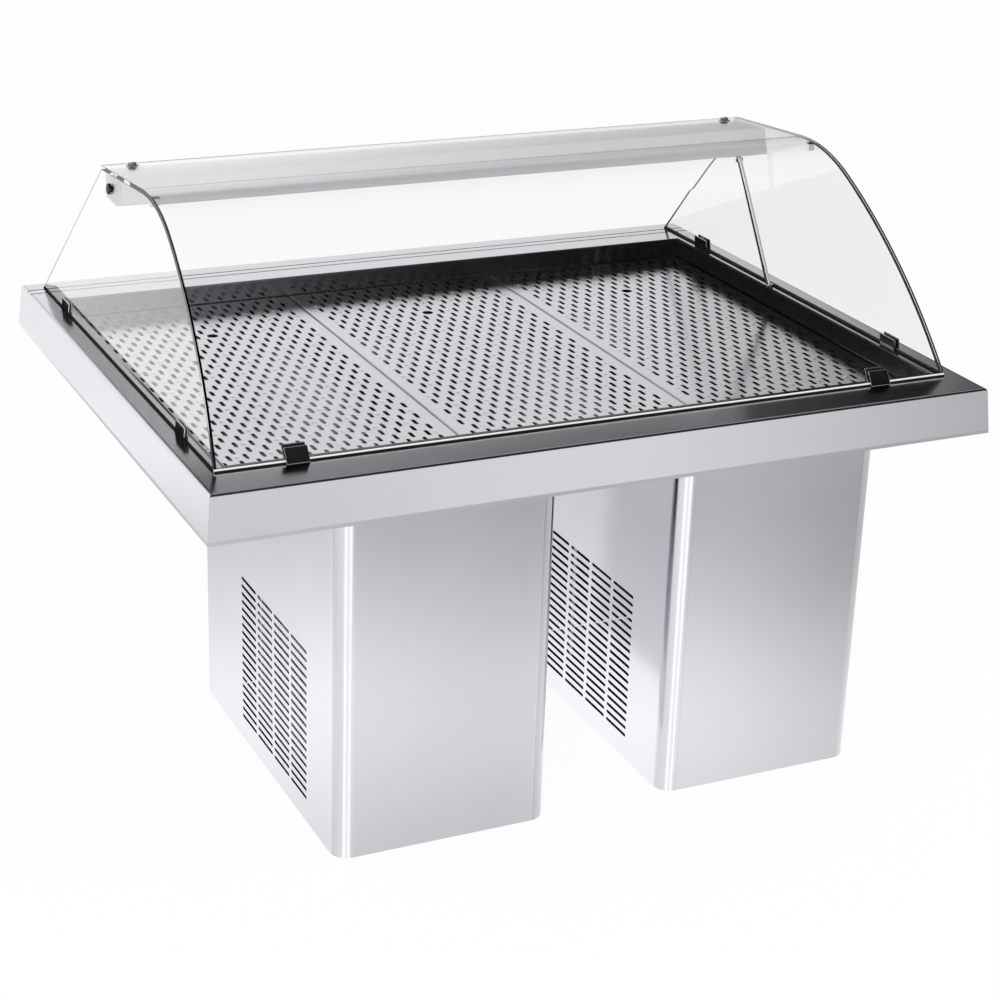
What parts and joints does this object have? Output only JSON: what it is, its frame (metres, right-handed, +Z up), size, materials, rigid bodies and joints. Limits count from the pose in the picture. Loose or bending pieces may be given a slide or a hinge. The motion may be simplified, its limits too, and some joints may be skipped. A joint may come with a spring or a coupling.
{
  "type": "refrigerated fish counter",
  "caption": "Free-standing chilled fish counter: shallow steel well with perforated lift-out trays under a bent glass hood with a lamp, on louvred pedestals.",
  "frame": {"origin": "on the floor under the middle of the rim", "axes": "+Z up, +Y to the staff side, +X to the right of a customer facing the front glass"},
  "size_m": [1.5148, 1.2148, 1.0779],
  "materials": {
    "brushed_steel": "brushed",
    "galvanised_steel": "satin",
    "clear_glass": "polished",
    "black_plastic": "satin",
    "bright_chrome": "polished",
    "black_rubber": "matt",
    "white_diffuser": "satin",
    "lamp_glass": "opal",
    "white_plastic": "satin",
    "foam": "matt",
    "copper": "drawn",
    "brass": "turned",
    "red_handle": "dipped",
    "black_paint": "gloss",
    "fin_aluminium": "thin fins"
  },
  "bodies": {
    "counter": {"top_frame": "brushed_steel", "well_tub": "brushed_steel", "underside_pan": "brushed_steel", "tray_bearers": "brushed_steel", "pedestal_shell_left": "brushed_steel", "pedestal_shell_right": "brushed_steel", "lamp_canopy": "brushed_steel", "canopy_end_caps": "brushed_steel", "pedestal_posts_left": "galvanised_steel", "pedestal_posts_right": "galvanised_steel", "pedestal_heads": "galvanised_steel", "pedestal_base_left": "galvanised_steel", "pedestal_base_right": "galvanised_steel", "unit_base": "galvanised_steel", "fan_shroud": "galvanised_steel", "head_bolts": "galvanised_steel", "front_glass": "clear_glass", "side_glass_left": "clear_glass", "side_glass_right": "clear_glass", "canopy_end_bolts": "black_plastic", "control_box": "black_plastic", "mains_gland": "black_plastic", "front_glass_clips": "bright_chrome", "left_glass_clips": "bright_chrome", "right_glass_clips": "bright_chrome", "corner_clips": "bright_chrome", "canopy_bolts": "bright_chrome", "lamp_conduit": "bright_chrome", "conduit_ferrules": "bright_chrome", "glass_seal": "black_rubber", "floor_pads": "black_rubber", "compressor_mounts": "black_rubber", "lamp_lens": "white_diffuser", "lamp_tube": "lamp_glass", "lamp_holders": "white_plastic", "tub_insulation": "foam", "evaporator_coil": "copper", "suction_line": "copper", "liquid_line": "copper", "drain_fitting": "brass", "drain_valve": "brass", "compressor": "black_paint", "receiver_tank": "black_paint", "fan_motor": "black_paint", "condenser_coil": "fin_aluminium"},
    "tray_left": {"tray_left": "brushed_steel"},
    "tray_centre": {"tray_centre": "brushed_steel"},
    "tray_right": {"tray_right": "brushed_steel"},
    "service_panel_left": {"service_panel_left": "brushed_steel"},
    "service_panel_right": {"service_panel_right": "brushed_steel"},
    "fan_blades": {"fan_blades": "black_plastic"},
    "drain_valve_lever": {"drain_valve_lever": "red_handle"},
    "power_rocker": {"power_rocker": "black_plastic"},
    "light_rocker": {"light_rocker": "black_plastic"},
    "thermostat_dial": {"thermostat_dial": "black_plastic"}
  },
  "joints": [
    {"name": "tray_left_lift", "type": "slide", "parent": "counter", "child": "tray_left", "axis": [0, 0, 1], "range_m": [0, 0.04]},
    {"name": "tray_centre_lift", "type": "slide", "parent": "counter", "child": "tray_centre", "axis": [0, 0, 1], "range_m": [0, 0.04]},
    {"name": "tray_right_lift", "type": "slide", "parent": "counter", "child": "tray_right", "axis": [0, 0, 1], "range_m": [0, 0.04]},
    {"name": "service_panel_left_pull", "type": "slide", "parent": "counter", "child": "service_panel_left", "axis": [0, 1, 0], "range_m": [0, 0.06]},
    {"name": "service_panel_right_pull", "type": "slide", "parent": "counter", "child": "service_panel_right", "axis": [0, 1, 0], "range_m": [0, 0.06]},
    {"name": "fan_spin", "type": "hinge", "parent": "counter", "child": "fan_blades", "pos_m": [-0.437, -0.27, 0.19], "axis": [1, 0, 0], "continuous": true},
    {"name": "valve_turn", "type": "hinge", "parent": "counter", "child": "drain_valve_lever", "pos_m": [0.3, -0.185, 0.52], "axis": [0, 1, 0], "range_deg": [0, 90]},
    {"name": "power_rock", "type": "hinge", "parent": "counter", "child": "power_rocker", "pos_m": [0.208, 0.482, 0.574], "axis": [1, 0, 0], "range_deg": [0, 12]},
    {"name": "light_rock", "type": "hinge", "parent": "counter", "child": "light_rocker", "pos_m": [0.248, 0.482, 0.574], "axis": [1, 0, 0], "range_deg": [0, 12]},
    {"name": "dial_turn", "type": "hinge", "parent": "counter", "child": "thermostat_dial", "pos_m": [0.314, 0.49, 0.574], "axis": [0, 1, 0], "range_deg": [-140, 140]}
  ]
}
